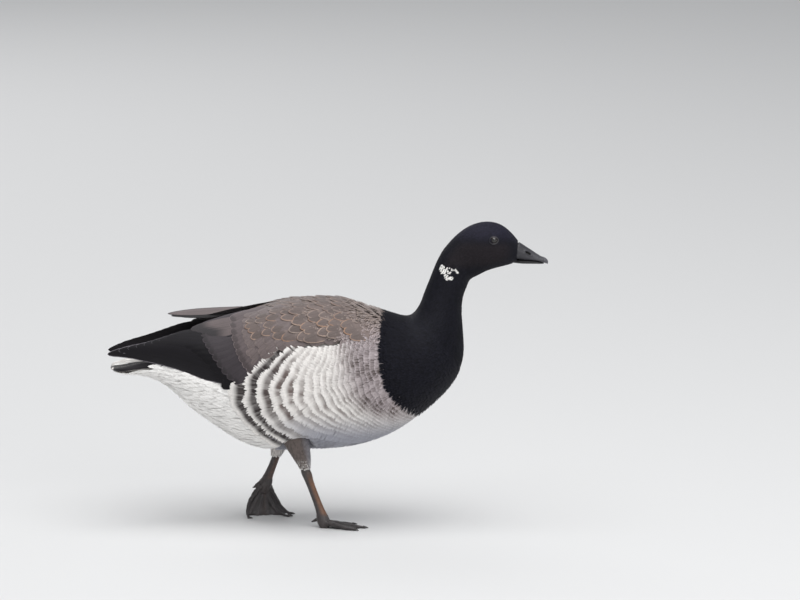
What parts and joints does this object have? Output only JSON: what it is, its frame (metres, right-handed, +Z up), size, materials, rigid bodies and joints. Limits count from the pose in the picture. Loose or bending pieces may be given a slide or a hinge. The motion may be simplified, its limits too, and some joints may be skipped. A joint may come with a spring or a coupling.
{
  "type": "brent goose",
  "caption": "Life-size still model of a walking goose: black head, neck and breast, brown back, barred pale flanks, white vent, webbed feet.",
  "frame": {"origin": "on the floor, under the middle of the bounding box", "axes": "+X the way the bird walks and its bill points, +Y its left side, +Z up"},
  "size_m": [0.442, 0.134, 0.306],
  "materials": {
    "plumage_black": "soft black feathers with a faint bluish sheen",
    "plumage_body": "soft grey-brown and white feathers, barred on the flanks",
    "plumage_tail": "dark stiff feathers under white coverts",
    "plumage_wing": "close-webbed brown and blackish feathers, satin",
    "plumage_shank": "short soft feathers",
    "leg_skin": "scaled skin, half-gloss",
    "bill": "smooth black horn, half-gloss",
    "eye": "wet and glossy"
  },
  "bodies": {
    "root": {"neck": "plumage_black", "head": "plumage_black", "trunk": "plumage_body", "tail": "plumage_tail", "wing_left": "plumage_wing", "wing_right": "plumage_wing", "tertials_left": "plumage_wing", "shank_left": "plumage_shank", "shank_right": "plumage_shank", "tarsus_left": "leg_skin", "tarsus_right": "leg_skin", "foot_left": "leg_skin", "foot_right": "leg_skin", "bill_upper": "bill", "bill_lower": "bill", "eye_left": "eye", "eye_right": "eye"}
  },
  "joints": []
}
